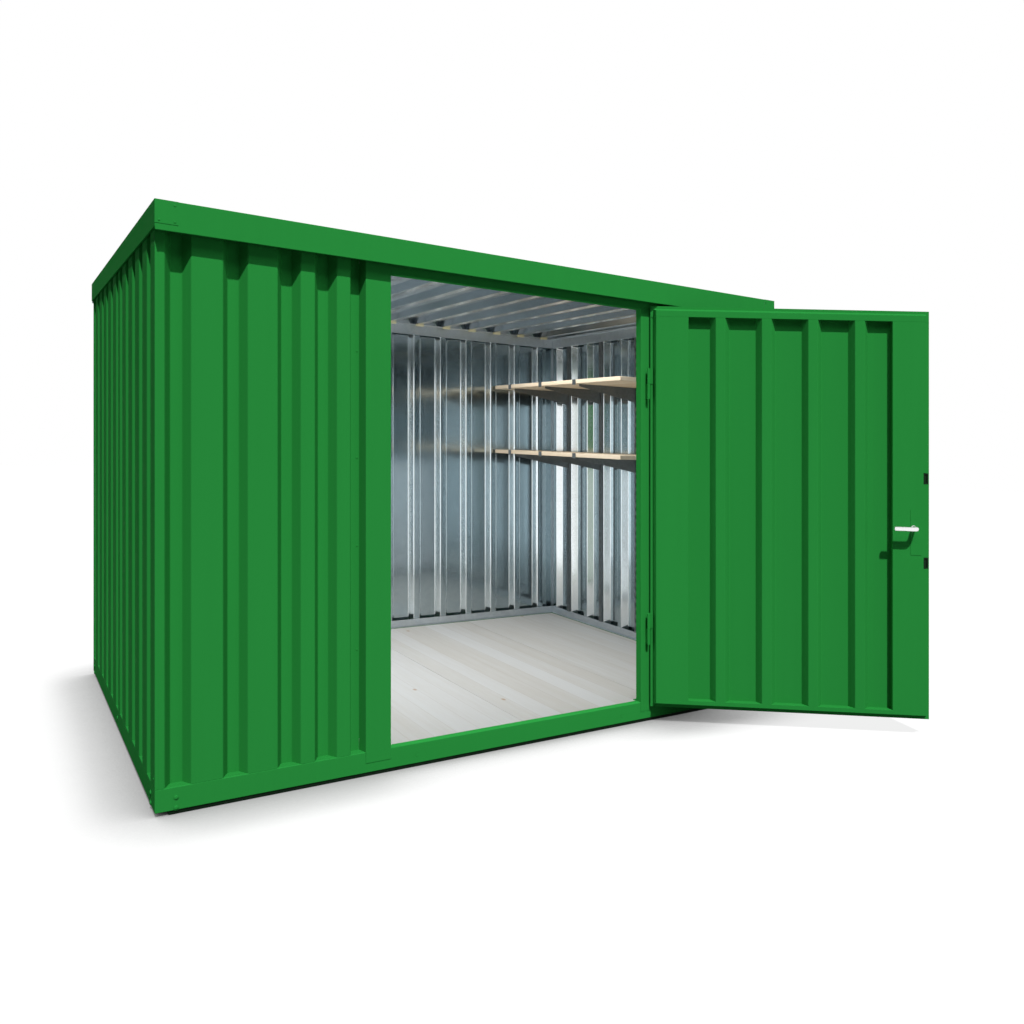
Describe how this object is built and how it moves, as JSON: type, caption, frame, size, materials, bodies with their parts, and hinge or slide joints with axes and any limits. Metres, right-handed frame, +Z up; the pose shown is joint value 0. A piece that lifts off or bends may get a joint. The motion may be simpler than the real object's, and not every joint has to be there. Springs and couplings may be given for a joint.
{
  "type": "site storage container",
  "caption": "Steel site storage container with profiled sheet walls, a flat roof behind a fascia, a boarded floor, wall shelves and a side-hung door that opens outwards.",
  "frame": {"origin": "On the ground at the middle of the roof's outline, on the underside of the middle runner.", "axes": "+X to the right as seen from the front, +Y from the front with the door to the back, +Z up."},
  "size_m": [3.2798, 2.9722, 2.15],
  "materials": {
    "green_paint": "satin mid green paint on folded and profiled steel",
    "runner_paint": "dull dark paint",
    "galvanised": "hot-dip galvanised, satin",
    "pine": "planed and sealed pale pine",
    "lever_metal": "satin light metal"
  },
  "bodies": {
    "container": {"base_runners": "runner_paint", "base_rail_front": "green_paint", "base_rail_back": "green_paint", "base_rail_left": "green_paint", "base_rail_right": "green_paint", "floor_joists": "galvanised", "floor_boards": "pine", "floor_edge_angles": "galvanised", "corner_post_front_left": "green_paint", "corner_post_front_right": "green_paint", "corner_post_back_left": "green_paint", "corner_post_back_right": "green_paint", "front_wall_left": "green_paint", "front_wall_right": "green_paint", "left_wall": "green_paint", "right_wall": "green_paint", "back_wall": "green_paint", "door_post_left": "green_paint", "door_post_right": "green_paint", "door_head": "green_paint", "top_rail_front": "galvanised", "top_rail_back": "galvanised", "top_rail_left": "galvanised", "top_rail_right": "galvanised", "roof_sheet": "green_paint", "fascia_front": "green_paint", "fascia_back": "green_paint", "fascia_left": "green_paint", "fascia_right": "green_paint", "frame_hinges": "green_paint", "shelf_lower": "pine", "shelf_upper": "pine", "shelf_uprights": "galvanised", "shelf_brackets": "galvanised"},
    "door": {"leaf_top_bar": "green_paint", "leaf_bottom_bar": "green_paint", "leaf_hinge_stile": "green_paint", "leaf_lock_stile": "green_paint", "leaf_sheet": "green_paint", "leaf_hinges": "green_paint", "lock_plate": "green_paint"},
    "lever": {"lever_inside": "lever_metal", "lever_outside": "lever_metal"}
  },
  "joints": [
    {"name": "door_swing", "type": "hinge", "parent": "container", "child": "door", "pos_m": [0.674, -1.061, 1.055], "axis": [0, 0, 1], "range_deg": [-143, 27]},
    {"name": "lever_turn", "type": "hinge", "parent": "door", "child": "lever", "pos_m": [1.67469, -1.81507, 0.995], "axis": [-0.6018, -0.7986, 0], "range_deg": [0, 45], "stiffness_Nm_per_rad": 0.6, "springref_deg": -34.38}
  ]
}
